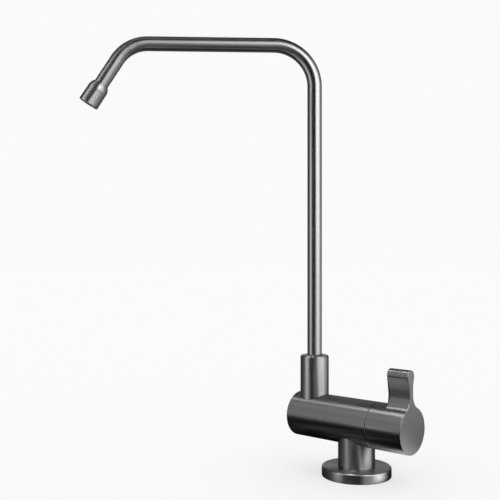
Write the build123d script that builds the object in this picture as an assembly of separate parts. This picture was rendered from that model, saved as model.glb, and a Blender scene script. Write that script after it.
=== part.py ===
from build123d import *
from math import acos, cos, degrees, radians, sin, sqrt, tan
import os

os.makedirs("parts", exist_ok=True)

# Drinking water filter tap, in millimetres. The origin is the centre of the base flange's
# underside and +Z is up. The spout points along -X. The round body lies level at 45 degrees
# to it, closed at the rear under the spout, with the lever at its front end.
# "Along" is the place on the body axis, counted from the pedestal's axis towards the lever.

# Round body: one bar diameter from end to end, 30.4 with this wall round the cartridge
valve_wall = 2.8
axis_height = 35.5  # body axis above the deck
axis_turn = 45.0  # degrees, from +X towards -Y
rear_seam = 15.5  # pedestal axis to the joint of rear body and valve body
rear_end_margin = 3.2  # from the collar's outside to the closed rear end
seam_gap = 0.5  # between the valve body and the lever's hub
hub_length = 25.75  # from that gap to the lever's flat front face
seam_edge_break = 0.2
rear_edge_radius = 1.0

# Clearances
braze_gap = 0.05  # between pieces that are brazed or pressed together
running_gap = 0.05  # radial, between a shaft and its bore
thread_gap = 0.05  # radial, between plain cylinders that stand for mating threads
free_gap = 0.3  # between moving faces that must not touch
overrun = 2.0  # how far a cutter runs past what it cuts

# Base: flange, gasket and pedestal
flange_diameter = 46.0
flange_height = 6.5
flange_edge_radius = 1.0
flange_foot_break = 0.4
gasket_inset = 3.5  # from the flange's rim to the gasket's outer edge
gasket_width = 5.0  # from the gasket's outer to its inner edge
gasket_thickness = 1.5
pedestal_diameter = 24.4
pedestal_foot_diameter = 18.0  # the foot that passes down through the flange
pedestal_spigot_diameter = 14.0
pedestal_spigot_depth = 3.2  # how far the spigot enters the body's wall
inlet_thread_diameter = 11.0  # tapping size of an M12x1 thread
inlet_thread_depth = 14.0
inlet_waterway_diameter = 8.0

# Joint of rear body and valve body
joint_wall = 4.2  # from the body's outside to the spigot
joint_depth = 6.0
joint_end_gap = 0.3
joint_spigot_wall = 3.0
rear_wall = 5.0
seat_wall = 3.0
seat_port_step = 0.4  # the port is this much smaller in radius than the seal on it

# Sealing rings, as the diameter of their round section
body_ring_section = 1.6
cartridge_ring_section = 1.5
spindle_ring_section = 1.3
ferrule_ring_section = 1.7
ring_groove_slack = 0.3  # extra width of every ring groove

# Quarter-turn cartridge, held in the valve body by its thread
cartridge_depth = 19.5  # from the seat to the underside of the cartridge's flange
valve_mouth_depth = 3.25  # from the seat of that flange to the valve body's front
cartridge_flange_thickness = 1.5
cartridge_flange_gap = 0.2
cartridge_shoulder_width = 2.1  # from the flange's rim to the thread
cartridge_thread_length = 8.0
cartridge_hex_step = 2.7  # from the flange's rim to the hexagon's flats
cartridge_hex_length = 5.0
cartridge_neck_wall = 2.5  # outside the spindle
cartridge_neck_length = 3.5
nose_step = 1.4  # from the thread down to the nose
nose_wall = 1.7
nose_seat_gap = 1.0  # the seal stands this far out of the nose
window_width = 9.0
window_length = 4.2

# Ceramic discs
disc_diameter = 13.8
disc_gap = 0.1
disc_thickness = 2.4
seat_seal_height = 3.9
seat_seal_width = 2.5
port_inner_diameter = 3.2
port_rim = 1.9  # from the port to the disc's rim
port_half_angle = 38.0  # degrees
drive_slot_inset = 2.8  # from the slot's end to the disc's rim
drive_slot_width = 2.6
drive_slot_depth = 1.3
drive_gap = 0.1

# Spindle
spindle_diameter = 8.0
spindle_foot_thickness = 2.2
spline_teeth = 20
spline_step = 0.1  # the splines are this much smaller in radius than the spindle
spline_tooth_height = 0.4
spline_tip_share = 0.3  # share of the tooth pitch that is flat at the tip
spline_end_gap = 0.5
circlip_thickness = 0.8
circlip_groove_depth = 0.7
circlip_width = 1.7  # how far it stands out of the spindle
circlip_opening = 3.0
circlip_gap = 0.1
hub_floor_gap = 2.1  # from the circlip to the floor of the hub's hollow

# Lever: hub and blade in one piece
lever_lean = 3.0  # degrees from upright, as photographed
hub_wall = 2.6
hub_face_wall = 5.5
lever_edge_break = 0.3
blade_length = 15.0  # along the body axis
blade_rise = 23.4  # from the hub's top to the blade's top
bulb_radius = 4.15
waist_width = 4.6
waist_rise = 8.8  # from the hub's top to where the neck is narrowest
flare_radius = 9.0  # between the neck and the round hub
set_screw_diameter = 4.0
set_screw_recess = 0.8
hex_socket_flats = 2.0
hex_socket_depth = 2.2

# Glide ring between valve body and lever hub
glide_lip_wall = 0.8
glide_ring_depth = 1.05

# Spout collar, brazed into the top of the rear body
collar_reach = 35.0  # pedestal axis back to the spout's axis
collar_wall = 2.9  # round the ferrule
collar_height = 26.3  # from the top of the round body to the collar's top
collar_edge_break = 0.8
collar_spigot_step = 1.6  # from the collar's outside to its spigot
collar_spigot_depth = 5.7
collar_ledge = 1.5
collar_ledge_step = 0.5  # the ledge's bore is this much smaller in radius than the tube

# Ferrule on the spout's foot, and what holds it in the collar
ferrule_wall = 1.85  # outside the tube
ferrule_foot = 11.2  # from the ferrule's lower end to the tube's end
first_ring_height = 3.0
second_ring_height = 7.0
retaining_groove_height = 17.0
retaining_groove_width = 3.4
retaining_groove_depth = 1.0
retaining_socket_depth = 1.7
retaining_screw_recess = 0.2
dog_point_diameter = 2.4
guide_bush_height = 4.6
guide_cone_height = 0.7
guide_cone_width = 0.3  # width of the cone's rim at its top
guide_cone_step = 0.9  # from the collar's bore to the cone's foot

# Spout tube
tube_diameter = 10.0
tube_wall = 1.0
spout_height = 291.0  # centre line of the level run above the deck
first_bend_radius = 28.5
level_run = 86.4
second_bend_radius = 25.0
drop_angle = 57.0  # degrees below the horizontal
drop_run = 20.0

# Nozzle with its aerator
nozzle_neck_wall = 0.4  # outside the tube
nozzle_shoulder_step = 1.55  # from the neck out to the shoulder
nozzle_shoulder_length = 6.0
nozzle_mouth_flare = 0.2  # from the shoulder out to the mouth
nozzle_mouth_wall = 1.0
nozzle_mouth_recess = 1.6  # from the retaining ring to the nozzle's end
nozzle_edge_radius = 0.6
nozzle_shoulder_bulge = 0.6  # how far the shoulder stands out from a plain cone
tube_socket_depth = 4.5
nozzle_inner_ledge = 1.5
aerator_seal_thickness = 1.4
aerator_seal_width = 1.95
aerator_insert_height = 5.2
aerator_insert_cup = 3.4
aerator_insert_wall = 1.0
aerator_hole_diameter = 1.4
aerator_hole_circle = 6.6
aerator_hole_count = 8
screen_thickness = 0.5
screen_pitch = 1.5
screen_bar = 0.5
retaining_ring_height = 1.4
retaining_ring_width = 1.15
aerator_gap = 0.05

# Worked out from the sizes above
disc_radius = disc_diameter / 2
nose_bore_radius = disc_radius + disc_gap
nose_radius = nose_bore_radius + nose_wall
cartridge_thread_radius = nose_radius + nose_step
thread_bore_radius = cartridge_thread_radius + thread_gap
cartridge_flange_radius = cartridge_thread_radius + cartridge_shoulder_width
cartridge_hex_inradius = cartridge_flange_radius - cartridge_hex_step
counterbore_radius = cartridge_flange_radius + cartridge_flange_gap
body_radius = counterbore_radius + valve_wall
gasket_outer_radius = flange_diameter / 2 - gasket_inset
gasket_inner_radius = gasket_outer_radius - gasket_width
tube_radius = tube_diameter / 2
tube_bore_radius = tube_radius - tube_wall
ferrule_radius = tube_radius + ferrule_wall
collar_bore_radius = ferrule_radius + running_gap
collar_radius = collar_bore_radius + collar_wall
collar_spigot_radius = collar_radius - collar_spigot_step
collar_ledge_bore_radius = tube_radius - collar_ledge_step
guide_cone_radius = collar_bore_radius - guide_cone_step
rear_reach = collar_reach + collar_radius + rear_end_margin
joint_radius = body_radius - joint_wall
rear_bore_radius = joint_radius - joint_spigot_wall
port_outer_radius = disc_radius - port_rim
drive_slot_length = 2 * (disc_radius - drive_slot_inset)
seat_seal_bore_radius = disc_radius - seat_seal_width
seat_port_radius = seat_seal_bore_radius - seat_port_step
spindle_radius = spindle_diameter / 2
spindle_bore_radius = spindle_radius + running_gap
spindle_foot_radius = nose_bore_radius - free_gap
spline_radius = spindle_radius - spline_step
circlip_outer_radius = spindle_radius + circlip_width
cartridge_neck_radius = spindle_radius + cartridge_neck_wall
hub_hollow_radius = body_radius - hub_wall
waist_height = body_radius + waist_rise
blade_top = body_radius + blade_rise

seat_along = joint_depth + seat_wall - rear_seam
flange_seat_along = seat_along + cartridge_depth
valve_front = flange_seat_along + valve_mouth_depth
hub_back = valve_front + seam_gap
lever_reach = hub_back + hub_length
nose_tip_along = seat_along + nose_seat_gap
fixed_disc_along = seat_along + seat_seal_height
turning_disc_along = fixed_disc_along + disc_thickness
spindle_foot_along = turning_disc_along + disc_thickness
nose_floor_along = spindle_foot_along + spindle_foot_thickness + circlip_gap
hex_along = flange_seat_along + cartridge_flange_thickness
neck_along = hex_along + cartridge_hex_length
neck_end_along = neck_along + cartridge_neck_length
circlip_along = neck_end_along + circlip_gap
hub_floor_along = circlip_along + circlip_thickness + hub_floor_gap
broach_end_along = lever_reach - hub_face_wall
set_screw_along = (hub_floor_along + broach_end_along) / 2

turn = radians(axis_turn)
body_plane = Plane(
    origin=(0, 0, axis_height),
    x_dir=(sin(turn), cos(turn), 0),
    z_dir=(cos(turn), -sin(turn), 0),
)
spout_x = -collar_reach * cos(turn)
spout_y = collar_reach * sin(turn)

collar_top = axis_height + body_radius + collar_height
collar_socket_floor = axis_height + body_radius - collar_spigot_depth
ferrule_low = collar_socket_floor + collar_ledge + free_gap
guide_bush_low = collar_top - guide_bush_height
ferrule_high = guide_bush_low - free_gap
tube_low = ferrule_low + ferrule_foot
retaining_height = ferrule_low + retaining_groove_height

drop = radians(drop_angle)
second_corner_setback = second_bend_radius * tan(drop / 2)
second_corner_x = spout_x - first_bend_radius - level_run - second_corner_setback
nozzle_run = second_corner_setback + drop_run
nozzle_plane = Plane(
    origin=(
        second_corner_x - nozzle_run * cos(drop),
        spout_y,
        spout_height - nozzle_run * sin(drop),
    ),
    x_dir=(0, 1, 0),
    z_dir=(-cos(drop), 0, -sin(drop)),
)
nozzle_ledge_start = tube_socket_depth
nozzle_chamber_start = tube_socket_depth + nozzle_inner_ledge
nozzle_neck_radius = tube_radius + nozzle_neck_wall
nozzle_shoulder_radius = nozzle_neck_radius + nozzle_shoulder_step
nozzle_mouth_radius = nozzle_shoulder_radius + nozzle_mouth_flare
nozzle_chamber_radius = nozzle_mouth_radius - nozzle_mouth_wall
aerator_radius = nozzle_chamber_radius - aerator_gap
aerator_seal_bore_radius = aerator_radius - aerator_seal_width
retaining_ring_bore_radius = aerator_radius - retaining_ring_width
insert_start = nozzle_chamber_start + aerator_seal_thickness
screen_start = insert_start + aerator_insert_height
retaining_ring_start = screen_start + screen_thickness
nozzle_length = retaining_ring_start + retaining_ring_height + nozzle_mouth_recess


def rod(radius, low, high):
    """A round bar along Z between two places."""
    return Pos(0, 0, low) * Cylinder(radius, high - low, align=(Align.CENTER, Align.CENTER, Align.MIN))


def ring(outer_radius, inner_radius, low, high):
    """A round sleeve along Z between two places."""
    return rod(outer_radius, low, high) - rod(inner_radius, low - overrun, high + overrun)


def turned(outline):
    """A turned solid from a closed outline of (radius, place along Z) points."""
    face = make_face(Polyline(*[(radius, 0, place) for radius, place in outline], close=True))
    return revolve(face, axis=Axis.Z)


def sealing_ring(outer_radius, section, place):
    """A round-section ring, drawn as squeezed into its groove, flush with the groove's edge."""
    return Pos(0, 0, place) * Torus(outer_radius - section / 2, section / 2)


def ring_groove(outer_radius, section, place):
    """The cutter for that ring's groove."""
    half_width = (section + ring_groove_slack) / 2
    return ring(outer_radius + overrun, outer_radius - section, place - half_width, place + half_width)


def on_body(part):
    """Moves a part drawn along Z onto the body axis."""
    return body_plane.location * part


def on_collar(part):
    """Moves a part drawn along Z onto the spout's upright axis."""
    return Pos(spout_x, spout_y, 0) * part


def on_nozzle(part):
    """Moves a part drawn along Z onto the nozzle's axis."""
    return nozzle_plane.location * part


def body_bar(extra):
    """The whole round body as one bar, grown by a gap, to cut saddles with."""
    return on_body(rod(body_radius + extra, -rear_reach - overrun, lever_reach + overrun))


def base_flange():
    flange = rod(flange_diameter / 2, 0, flange_height)
    flange = fillet(flange.edges().group_by(Axis.Z)[-1], flange_edge_radius)
    flange = chamfer(flange.edges().group_by(Axis.Z)[0], flange_foot_break)
    flange -= rod(pedestal_foot_diameter / 2 + braze_gap, -overrun, flange_height + overrun)
    return flange - ring(
        gasket_outer_radius + braze_gap,
        gasket_inner_radius - braze_gap,
        -overrun,
        gasket_thickness,
    )


def base_gasket():
    return ring(gasket_outer_radius, gasket_inner_radius, 0, gasket_thickness)


def pedestal_column():
    """Column with a saddle top, a spigot up into the body and a foot down through the flange."""
    column = rod(pedestal_diameter / 2, flange_height, axis_height) - body_bar(braze_gap)
    spigot_top = axis_height - body_radius + pedestal_spigot_depth
    column += rod(pedestal_spigot_diameter / 2, flange_height, spigot_top)
    column += rod(pedestal_foot_diameter / 2, 0, flange_height)
    column -= rod(inlet_thread_diameter / 2, -overrun, inlet_thread_depth)
    return column - rod(inlet_waterway_diameter / 2, inlet_thread_depth, axis_height)


def valve_body():
    """Bar section bored from both ends, with the seat wall between the bores."""
    glide_radius = body_radius - glide_lip_wall
    outline = [
        (seat_port_radius, joint_depth - rear_seam),
        (joint_radius + thread_gap, joint_depth - rear_seam),
        (joint_radius + thread_gap, -rear_seam),
        (body_radius - seam_edge_break, -rear_seam),
        (body_radius, seam_edge_break - rear_seam),
        (body_radius, valve_front - seam_edge_break),
        (body_radius - seam_edge_break, valve_front),
        (glide_radius, valve_front),
        (glide_radius, valve_front - glide_ring_depth),
        (counterbore_radius, valve_front - glide_ring_depth),
        (counterbore_radius, flange_seat_along),
        (thread_bore_radius, flange_seat_along),
        (thread_bore_radius, seat_along),
        (seat_port_radius, seat_along),
    ]
    body = on_body(turned(outline))
    spigot_top = axis_height - body_radius + pedestal_spigot_depth + braze_gap
    body -= rod(pedestal_spigot_diameter / 2 + braze_gap, 0, spigot_top)
    return body - rod(inlet_waterway_diameter / 2, 0, axis_height)


def rear_body():
    """Closed bar end with a blind bore, a spigot into the valve body and a socket for the collar."""
    rear = rod(body_radius, -rear_reach, -rear_seam)
    rear = fillet(rear.edges().group_by(Axis.Z)[0], rear_edge_radius)
    rear = chamfer(rear.edges().group_by(Axis.Z)[-1], seam_edge_break)
    spigot_end = joint_depth - joint_end_gap - rear_seam
    rear += rod(joint_radius, -rear_seam - overrun, spigot_end)
    rear -= rod(rear_bore_radius, rear_wall - rear_reach, spigot_end + overrun)
    rear -= ring_groove(joint_radius, body_ring_section, joint_depth / 2 - rear_seam)
    socket_high = axis_height + body_radius + overrun
    socket = rod(collar_spigot_radius + braze_gap, collar_socket_floor, socket_high)
    port = rod(tube_radius, axis_height, collar_socket_floor + overrun)
    return on_body(rear) - on_collar(socket + port)


def body_joint_seal():
    return on_body(sealing_ring(joint_radius, body_ring_section, joint_depth / 2 - rear_seam))


def spout_collar():
    """Upright sleeve with a saddle foot, a spigot into the rear body and a ledge for the ferrule."""
    collar = rod(collar_radius, axis_height, collar_top)
    collar = chamfer(collar.edges().group_by(Axis.Z)[-1], collar_edge_break)
    collar = on_collar(collar) - body_bar(braze_gap)
    spigot = rod(collar_spigot_radius, collar_socket_floor, collar_top - collar_edge_break)
    bores = rod(collar_bore_radius, collar_socket_floor + collar_ledge, collar_top + overrun)
    bores += rod(collar_ledge_bore_radius, axis_height, collar_top)
    tapped_hole = rod(set_screw_diameter / 2 + thread_gap, 0, 2 * collar_radius)
    tapped_hole = Pos(0, 0, retaining_height) * Rot(X=-90) * tapped_hole
    return collar + on_collar(spigot) - on_collar(bores + tapped_hole)


def spout_guide_bush():
    """Bush pressed into the collar's mouth, with a low cone round the tube."""
    bore_radius = tube_radius + running_gap
    return on_collar(
        turned(
            [
                (bore_radius, guide_bush_low),
                (collar_bore_radius, guide_bush_low),
                (collar_bore_radius, collar_top),
                (guide_cone_radius, collar_top),
                (bore_radius + guide_cone_width, collar_top + guide_cone_height),
                (bore_radius, collar_top + guide_cone_height),
            ]
        )
    )


def hex_socket(depth):
    """Cutter for a hexagon socket, opening at Z zero and going down."""
    return extrude(
        RegularPolygon(hex_socket_flats / 2, side_count=6, major_radius=False), amount=-depth
    )


def spout_retaining_screw():
    """Dog-point grub screw whose point runs in the ferrule's groove."""
    head = collar_radius - retaining_screw_recess
    thread_end = collar_bore_radius + free_gap
    point = ferrule_radius - retaining_groove_depth + free_gap
    screw = rod(set_screw_diameter / 2, thread_end, head) + rod(dog_point_diameter / 2, point, head)
    screw -= Pos(0, 0, head) * hex_socket(retaining_socket_depth)
    return on_collar(Pos(0, 0, retaining_height) * Rot(X=-90) * screw)


def cartridge_body():
    """Brass cartridge: windowed nose, thread, flange, hexagon and neck round the spindle."""
    groove_place = flange_seat_along - cartridge_ring_section / 2 - ring_groove_slack / 2
    body = rod(nose_radius, nose_tip_along, flange_seat_along)
    thread_start = flange_seat_along - cartridge_thread_length
    body += rod(cartridge_thread_radius, thread_start, flange_seat_along)
    body -= ring_groove(cartridge_thread_radius, cartridge_ring_section, groove_place)
    body += rod(cartridge_flange_radius, flange_seat_along, hex_along)
    hexagon = RegularPolygon(cartridge_hex_inradius, side_count=6, major_radius=False)
    body += Pos(0, 0, hex_along) * extrude(hexagon, amount=cartridge_hex_length)
    body += rod(cartridge_neck_radius, neck_along, neck_end_along)
    body -= rod(nose_bore_radius, nose_tip_along - overrun, nose_floor_along)
    body -= rod(spindle_bore_radius, nose_tip_along, neck_end_along + overrun)
    window = Box(
        2 * nose_radius + overrun,
        window_width,
        window_length,
        align=(Align.CENTER, Align.CENTER, Align.MIN),
    )
    return on_body(body - Pos(0, 0, turning_disc_along) * window)


def cartridge_o_ring():
    groove_place = flange_seat_along - cartridge_ring_section / 2 - ring_groove_slack / 2
    return on_body(
        sealing_ring(cartridge_thread_radius, cartridge_ring_section, groove_place)
    )


def cartridge_seat_seal():
    return on_body(
        ring(disc_radius, seat_seal_bore_radius, seat_along, fixed_disc_along)
    )


def port_sector(inner_radius, outer_radius):
    """Face of one port: the part of a ring within the port angle each side of +X."""
    start = -port_half_angle
    sweep_angle = 2 * port_half_angle
    outer = CenterArc((0, 0), outer_radius, start, sweep_angle)
    inner = CenterArc((0, 0), inner_radius, start, sweep_angle)
    sides = [Line(inner @ end, outer @ end) for end in (0, 1)]
    return make_face([outer, inner, *sides])


def two_ports(inner_radius, outer_radius):
    """Cutter for two opposite ports."""
    sector = extrude(port_sector(inner_radius, outer_radius), amount=disc_thickness + 2 * overrun)
    sector = Pos(0, 0, -overrun) * sector
    return sector + Rot(Z=180) * sector


def fixed_ceramic_disc():
    disc = rod(disc_radius, 0, disc_thickness)
    disc -= two_ports(port_inner_diameter / 2, port_outer_radius)
    return on_body(Pos(0, 0, fixed_disc_along) * disc)


def turning_ceramic_disc():
    """Disc with a notch at each side, which uncovers the fixed disc's ports at a quarter turn."""
    disc = rod(disc_radius, 0, disc_thickness)
    notches = two_ports(port_inner_diameter / 2, disc_radius + overrun)
    slot = Box(
        drive_slot_length,
        drive_slot_width,
        drive_slot_depth,
        align=(Align.CENTER, Align.CENTER, Align.MAX),
    )
    disc = disc - Rot(Z=90) * notches - Pos(0, 0, disc_thickness) * slot
    return on_body(Rot(Z=lever_lean) * Pos(0, 0, turning_disc_along) * disc)


def spline_face(gap):
    """Outline of the splined end, grown by a gap for its broached hole."""
    tip = spline_radius + gap
    root = tip - spline_tooth_height
    pitch = 360 / spline_teeth
    half_tip = pitch * spline_tip_share / 2
    points = []
    for tooth in range(spline_teeth):
        middle = pitch * tooth
        for radius, angle in (
            (root, middle - pitch / 2 + half_tip),
            (tip, middle - half_tip),
            (tip, middle + half_tip),
            (root, middle + pitch / 2 - half_tip),
        ):
            points.append((radius * cos(radians(angle)), radius * sin(radians(angle))))
    return make_face(Polyline(*points, close=True))


def spindle():
    """Spindle with a driving tang, a sealing ring groove, a circlip groove and a splined end."""
    shaft = rod(spindle_radius, spindle_foot_along, hub_floor_along - free_gap)
    shaft += rod(
        spindle_foot_radius, spindle_foot_along, spindle_foot_along + spindle_foot_thickness
    )
    tang = Box(
        drive_slot_length - 2 * drive_gap,
        drive_slot_width - 2 * drive_gap,
        drive_slot_depth - drive_gap + spindle_foot_thickness,
        align=(Align.CENTER, Align.CENTER, Align.MAX),
    )
    shaft += Pos(0, 0, spindle_foot_along + spindle_foot_thickness) * tang
    shaft -= ring_groove(spindle_radius, spindle_ring_section, (hex_along + neck_along) / 2)
    shaft -= ring(
        spindle_radius + overrun,
        spindle_radius - circlip_groove_depth,
        circlip_along,
        circlip_along + circlip_thickness,
    )
    spline_end = broach_end_along - spline_end_gap
    splines = extrude(spline_face(0), amount=spline_end - hub_floor_along + overrun)
    shaft += Pos(0, 0, hub_floor_along - overrun) * splines
    return on_body(Rot(Z=lever_lean) * shaft)


def spindle_o_ring():
    return on_body(
        sealing_ring(spindle_radius, spindle_ring_section, (hex_along + neck_along) / 2)
    )


def spindle_circlip():
    """Open spring ring in the spindle's groove, against the end of the cartridge's neck."""
    clip = ring(
        circlip_outer_radius,
        spindle_radius - circlip_groove_depth + running_gap,
        circlip_along,
        circlip_along + circlip_thickness,
    )
    mouth = Box(
        2 * circlip_outer_radius,
        circlip_opening,
        circlip_thickness + 2 * overrun,
        align=(Align.MIN, Align.CENTER, Align.CENTER),
    )
    return on_body(clip - Pos(0, 0, circlip_along) * mouth)


def lever_outline():
    """Front outline of the blade: flares out of the hub, narrows at the waist, ends in a round bulb.

    The flare arc touches the hub circle and the waist line. The neck arc touches the waist line
    at the waist's height and the bulb circle. Both are outside the blade, so they curve inwards.
    """
    waist = waist_width / 2
    flare_x = waist + flare_radius
    flare_y = sqrt((body_radius + flare_radius) ** 2 - flare_x**2)
    flare_angle = degrees(acos(flare_x / (body_radius + flare_radius)))
    bulb_y = blade_top - bulb_radius
    rise = bulb_y - waist_height
    neck_radius = (rise**2 + waist**2 - bulb_radius**2) / (2 * (bulb_radius - waist))
    neck_x = waist + neck_radius
    neck_angle = degrees(acos(neck_x / (bulb_radius + neck_radius)))
    flare = CenterArc((flare_x, flare_y), flare_radius, 180, flare_angle)
    waist_line = Line((waist, flare_y), (waist, waist_height))
    neck = CenterArc((neck_x, waist_height), neck_radius, 180 - neck_angle, neck_angle)
    bulb = CenterArc((0, bulb_y), bulb_radius, -neck_angle, 90 + neck_angle)
    half = [flare, waist_line, neck, bulb]
    other_half = [mirror(edge, about=Plane.YZ) for edge in half]
    root = Line(flare @ 1, other_half[0] @ 1)
    return make_face([*half, *other_half, root])


def lever_handle():
    """Hub hollowed from behind, splined bore, and the blade standing on its front half."""
    hub = rod(body_radius, hub_back, lever_reach)
    hub = chamfer(hub.edges().group_by(Axis.Z)[0], seam_edge_break)
    blade = extrude(lever_outline(), amount=blade_length)
    lever = hub + Pos(0, 0, lever_reach - blade_length) * blade
    lever = chamfer(lever.faces().sort_by(Axis.Z)[-1].edges(), lever_edge_break)
    lever -= rod(hub_hollow_radius, hub_back - overrun, hub_floor_along)
    broach = extrude(spline_face(running_gap), amount=broach_end_along - hub_floor_along + overrun)
    lever -= Pos(0, 0, hub_floor_along - overrun) * broach
    tapped_hole = rod(set_screw_diameter / 2 + thread_gap, 0, body_radius + overrun)
    lever -= Pos(0, 0, set_screw_along) * Rot(X=90) * tapped_hole
    return on_body(Rot(Z=lever_lean) * lever)


def handle_set_screw():
    """Grub screw in the hub's underside, down on the spindle's splines."""
    head = body_radius - set_screw_recess
    point = spline_radius + running_gap
    screw = rod(set_screw_diameter / 2, point, head)
    screw -= Pos(0, 0, head) * hex_socket(hex_socket_depth)
    return on_body(Rot(Z=lever_lean) * Pos(0, 0, set_screw_along) * Rot(X=90) * screw)


def handle_glide_ring():
    return on_body(
        ring(
            body_radius - glide_lip_wall - braze_gap,
            counterbore_radius,
            valve_front - glide_ring_depth,
            hub_back,
        )
    )


def spout_path(start_height, end_run):
    """Centre line of the spout: up, over the first bend, level, over the second bend, down."""
    corner_run = second_corner_setback + end_run
    return FilletPolyline(
        (spout_x, spout_y, start_height),
        (spout_x, spout_y, spout_height),
        (second_corner_x, spout_y, spout_height),
        (
            second_corner_x - corner_run * cos(drop),
            spout_y,
            spout_height - corner_run * sin(drop),
        ),
        radius=[first_bend_radius, second_bend_radius],
    )


def spout_tube():
    path = spout_path(tube_low, drop_run + tube_socket_depth)
    section = Circle(tube_radius) - Circle(tube_bore_radius)
    return sweep(Pos(spout_x, spout_y, tube_low) * section, path=path)


def spout_ferrule():
    """Turned sleeve brazed on the tube's foot, with grooves for two rings and the screw's point."""
    ferrule = rod(ferrule_radius, ferrule_low, ferrule_high)
    ferrule -= rod(tube_bore_radius, ferrule_low - overrun, tube_low + overrun)
    ferrule -= rod(tube_radius + braze_gap, tube_low, ferrule_high + overrun)
    for height in (first_ring_height, second_ring_height):
        ferrule -= ring_groove(ferrule_radius, ferrule_ring_section, ferrule_low + height)
    ferrule -= ring(
        ferrule_radius + overrun,
        ferrule_radius - retaining_groove_depth,
        retaining_height - retaining_groove_width / 2,
        retaining_height + retaining_groove_width / 2,
    )
    return on_collar(ferrule)


def ferrule_o_rings():
    lower, upper = [
        sealing_ring(ferrule_radius, ferrule_ring_section, ferrule_low + height)
        for height in (first_ring_height, second_ring_height)
    ]
    return on_collar(lower + upper)


def nozzle_housing():
    """Nozzle with a rounded shoulder, a socket for the tube and a chamber for the aerator."""
    neck = (nozzle_neck_radius, 0, 0)
    shoulder = (nozzle_shoulder_radius, 0, nozzle_shoulder_length)
    mouth = (nozzle_mouth_radius, 0, nozzle_length)
    chord_length = sqrt((shoulder[0] - neck[0]) ** 2 + nozzle_shoulder_length**2)
    bulge = nozzle_shoulder_bulge / chord_length
    crown = (
        (neck[0] + shoulder[0]) / 2 + bulge * nozzle_shoulder_length,
        0,
        nozzle_shoulder_length / 2 - bulge * (shoulder[0] - neck[0]),
    )
    outline = [
        Line((0, 0, 0), neck),
        ThreePointArc(neck, crown, shoulder),
        Line(shoulder, mouth),
        Line(mouth, (0, 0, nozzle_length)),
        Line((0, 0, nozzle_length), (0, 0, 0)),
    ]
    nozzle = revolve(make_face(outline), axis=Axis.Z)
    nozzle = fillet(nozzle.edges().group_by(Axis.Z)[-1], nozzle_edge_radius)
    nozzle -= rod(tube_radius + braze_gap, -overrun, tube_socket_depth)
    nozzle -= rod(tube_bore_radius, nozzle_ledge_start, nozzle_length)
    nozzle -= rod(nozzle_chamber_radius, nozzle_chamber_start, nozzle_length + overrun)
    return on_nozzle(nozzle)


def aerator_seal():
    return on_nozzle(
        ring(aerator_radius, aerator_seal_bore_radius, nozzle_chamber_start, insert_start)
    )


def aerator_insert():
    """Flow former: a cup with a ring of holes through its floor."""
    cup = rod(aerator_radius, 0, aerator_insert_height)
    cup -= rod(aerator_radius - aerator_insert_wall, -overrun, aerator_insert_cup)
    hole = rod(aerator_hole_diameter / 2, 0, aerator_insert_height + overrun)
    cup -= PolarLocations(aerator_hole_circle / 2, aerator_hole_count) * hole
    return on_nozzle(Pos(0, 0, insert_start) * cup)


def aerator_screen():
    """Flat screen with square holes in rows, where they clear its rim."""
    opening = screen_pitch - screen_bar
    clear_radius = retaining_ring_bore_radius
    half_count = int(clear_radius / screen_pitch)
    holes = []
    for row in range(-half_count, half_count + 1):
        for column in range(-half_count, half_count + 1):
            x = row * screen_pitch
            y = column * screen_pitch
            corner = sqrt((abs(x) + opening / 2) ** 2 + (abs(y) + opening / 2) ** 2)
            if corner < clear_radius:
                holes.append(Pos(x, y) * Rectangle(opening, opening))
    face = Circle(aerator_radius) - holes
    return on_nozzle(Pos(0, 0, screen_start) * extrude(face, amount=screen_thickness))


def aerator_retaining_ring():
    return on_nozzle(
        ring(
            aerator_radius,
            retaining_ring_bore_radius,
            retaining_ring_start,
            retaining_ring_start + retaining_ring_height,
        )
    )


for piece in (
    base_flange,
    base_gasket,
    pedestal_column,
    valve_body,
    rear_body,
    body_joint_seal,
    spout_collar,
    spout_guide_bush,
    spout_retaining_screw,
    cartridge_body,
    cartridge_o_ring,
    cartridge_seat_seal,
    fixed_ceramic_disc,
    turning_ceramic_disc,
    spindle,
    spindle_o_ring,
    spindle_circlip,
    lever_handle,
    handle_set_screw,
    handle_glide_ring,
    spout_tube,
    spout_ferrule,
    ferrule_o_rings,
    nozzle_housing,
    aerator_seal,
    aerator_insert,
    aerator_screen,
    aerator_retaining_ring,
):
    export_step(piece(), f"parts/{piece.__name__}.step")
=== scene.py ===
from math import cos, pi, radians, sin

import bmesh
import bpy
import numpy as np
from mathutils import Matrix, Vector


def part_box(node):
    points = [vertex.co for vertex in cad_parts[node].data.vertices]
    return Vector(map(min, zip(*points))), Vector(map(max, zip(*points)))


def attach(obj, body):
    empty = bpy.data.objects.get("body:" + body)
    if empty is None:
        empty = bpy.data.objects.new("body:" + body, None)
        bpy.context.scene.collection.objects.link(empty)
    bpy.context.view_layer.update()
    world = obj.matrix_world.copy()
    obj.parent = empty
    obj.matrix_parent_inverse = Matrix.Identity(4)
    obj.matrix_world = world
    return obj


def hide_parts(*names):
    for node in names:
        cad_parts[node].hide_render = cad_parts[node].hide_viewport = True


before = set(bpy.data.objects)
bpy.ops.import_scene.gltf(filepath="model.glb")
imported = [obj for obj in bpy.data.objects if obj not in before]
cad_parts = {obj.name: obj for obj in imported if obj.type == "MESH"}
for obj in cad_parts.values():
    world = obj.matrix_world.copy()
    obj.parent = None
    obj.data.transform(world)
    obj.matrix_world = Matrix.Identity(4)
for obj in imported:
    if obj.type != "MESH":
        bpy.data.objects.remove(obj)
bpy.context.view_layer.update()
mm = 0.001

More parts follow.
